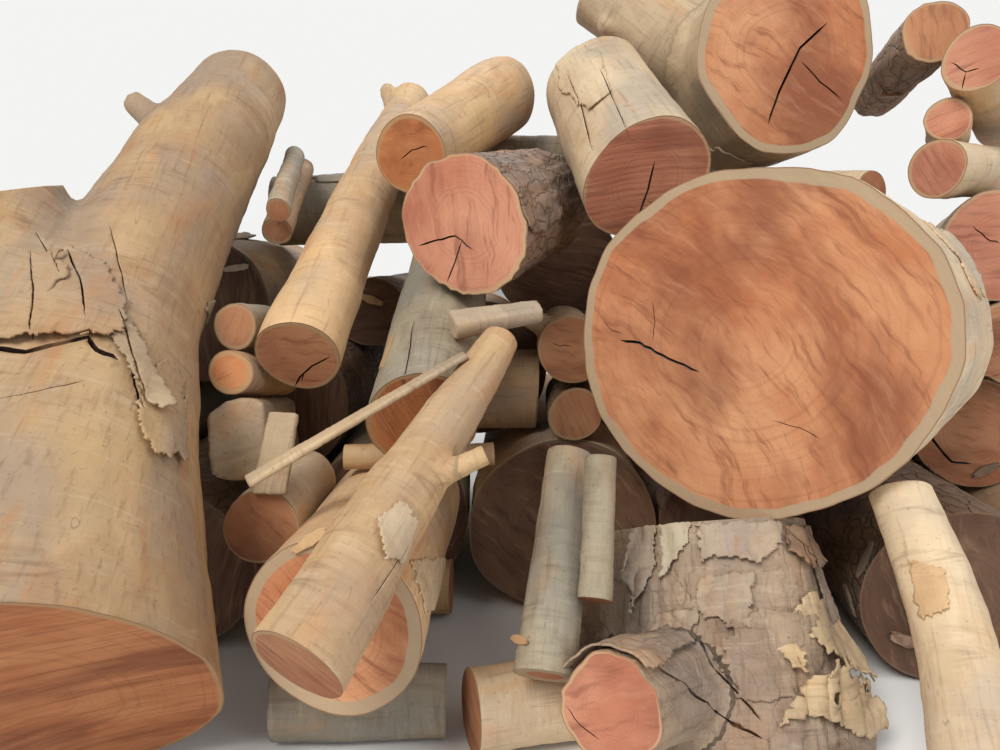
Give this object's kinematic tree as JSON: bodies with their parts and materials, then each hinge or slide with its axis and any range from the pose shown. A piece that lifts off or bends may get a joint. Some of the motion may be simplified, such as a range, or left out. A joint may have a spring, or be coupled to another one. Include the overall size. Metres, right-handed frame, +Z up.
{
  "type": "heap of logs",
  "caption": "Loose heap of freshly sawn tree logs: a forked trunk, thick rounds and thinner limbs lying on one another, sawn ends mostly to the front.",
  "frame": {"origin": "on the floor, under the middle of the heap's outline", "axes": "+Z up; +X along the heap's front, to the right as seen from the front; the sawn ends face -Y"},
  "size_m": [2.2888, 1.6698, 1.3749],
  "materials": {
    "smooth_bark": "matt",
    "grey_bark": "matt",
    "rough_bark": "matt"
  },
  "bodies": {
    "root": {"back_cross_log": "grey_bark", "base_log_far_left": "smooth_bark", "base_log_far_right": "smooth_bark", "base_log_left": "smooth_bark", "base_log_mid_left": "smooth_bark", "base_log_mid_right": "smooth_bark", "base_log_middle": "rough_bark", "base_log_right": "rough_bark", "bent_branch": "grey_bark", "big_round_log": "smooth_bark", "crotch_log": "smooth_bark", "dark_bark_log": "rough_bark", "dark_cracked_log": "rough_bark", "floor_chunk": "rough_bark", "floor_log_front": "rough_bark", "floor_log_rear": "rough_bark", "forked_trunk": "smooth_bark", "front_branch": "grey_bark", "gap_brown_log": "rough_bark", "gap_dark_log": "grey_bark", "gap_knot_log": "smooth_bark", "gap_round_log": "smooth_bark", "gap_slim_log": "grey_bark", "gap_split_block": "smooth_bark", "grey_branch": "grey_bark", "long_bark_strip": "rough_bark", "low_red_log": "smooth_bark", "mid_grey_log": "grey_bark", "pale_limb_log": "grey_bark", "pale_slab": "smooth_bark", "peeling_stump": "rough_bark", "prop_log": "grey_bark", "rear_rest_log": "grey_bark", "red_face_log": "rough_bark", "right_pale_log": "smooth_bark", "rough_right_log": "rough_bark", "second_log_far_left": "smooth_bark", "second_log_left": "smooth_bark", "second_log_mid_left": "smooth_bark", "second_log_mid_right": "rough_bark", "second_log_right": "smooth_bark", "short_split_piece": "smooth_bark", "slender_log": "grey_bark", "small_dark_log": "grey_bark", "small_split_log": "smooth_bark", "small_top_log": "smooth_bark", "split_face_log": "smooth_bark", "striped_log": "grey_bark", "stubbed_log": "grey_bark", "third_log_far_right": "rough_bark", "third_log_left": "smooth_bark", "third_log_mid_left": "smooth_bark", "third_log_mid_right": "smooth_bark", "third_log_right": "smooth_bark", "upper_pale_log": "smooth_bark", "upright_green_log": "grey_bark", "wedge_stick": "grey_bark"}
  },
  "joints": []
}
